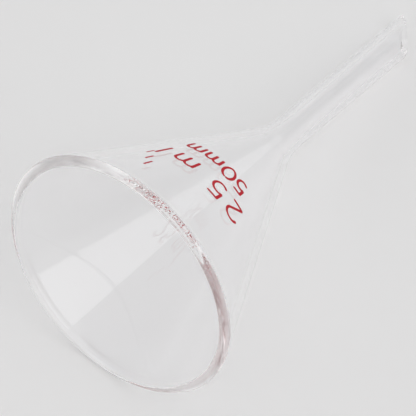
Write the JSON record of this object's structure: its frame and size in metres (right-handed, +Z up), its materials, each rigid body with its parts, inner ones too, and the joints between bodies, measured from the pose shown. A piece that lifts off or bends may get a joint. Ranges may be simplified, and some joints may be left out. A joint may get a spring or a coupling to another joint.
{
  "type": "conical laboratory funnel",
  "caption": "Clear glass conical funnel with a fire-polished rim and a short straight stem with an obliquely cut tip, for pouring or filtering into narrow necks.",
  "frame": {"origin": "on the floor, under the centre of the part's box as it lies on its side", "axes": "+X along the floor from the mouth to the tip, +Y toward the tip's long point, +Z up"},
  "size_m": [0.093, 0.05, 0.0485],
  "materials": {
    "glass": "clear, fire-polished"
  },
  "bodies": {
    "root": {"funnel": "glass"}
  },
  "joints": []
}
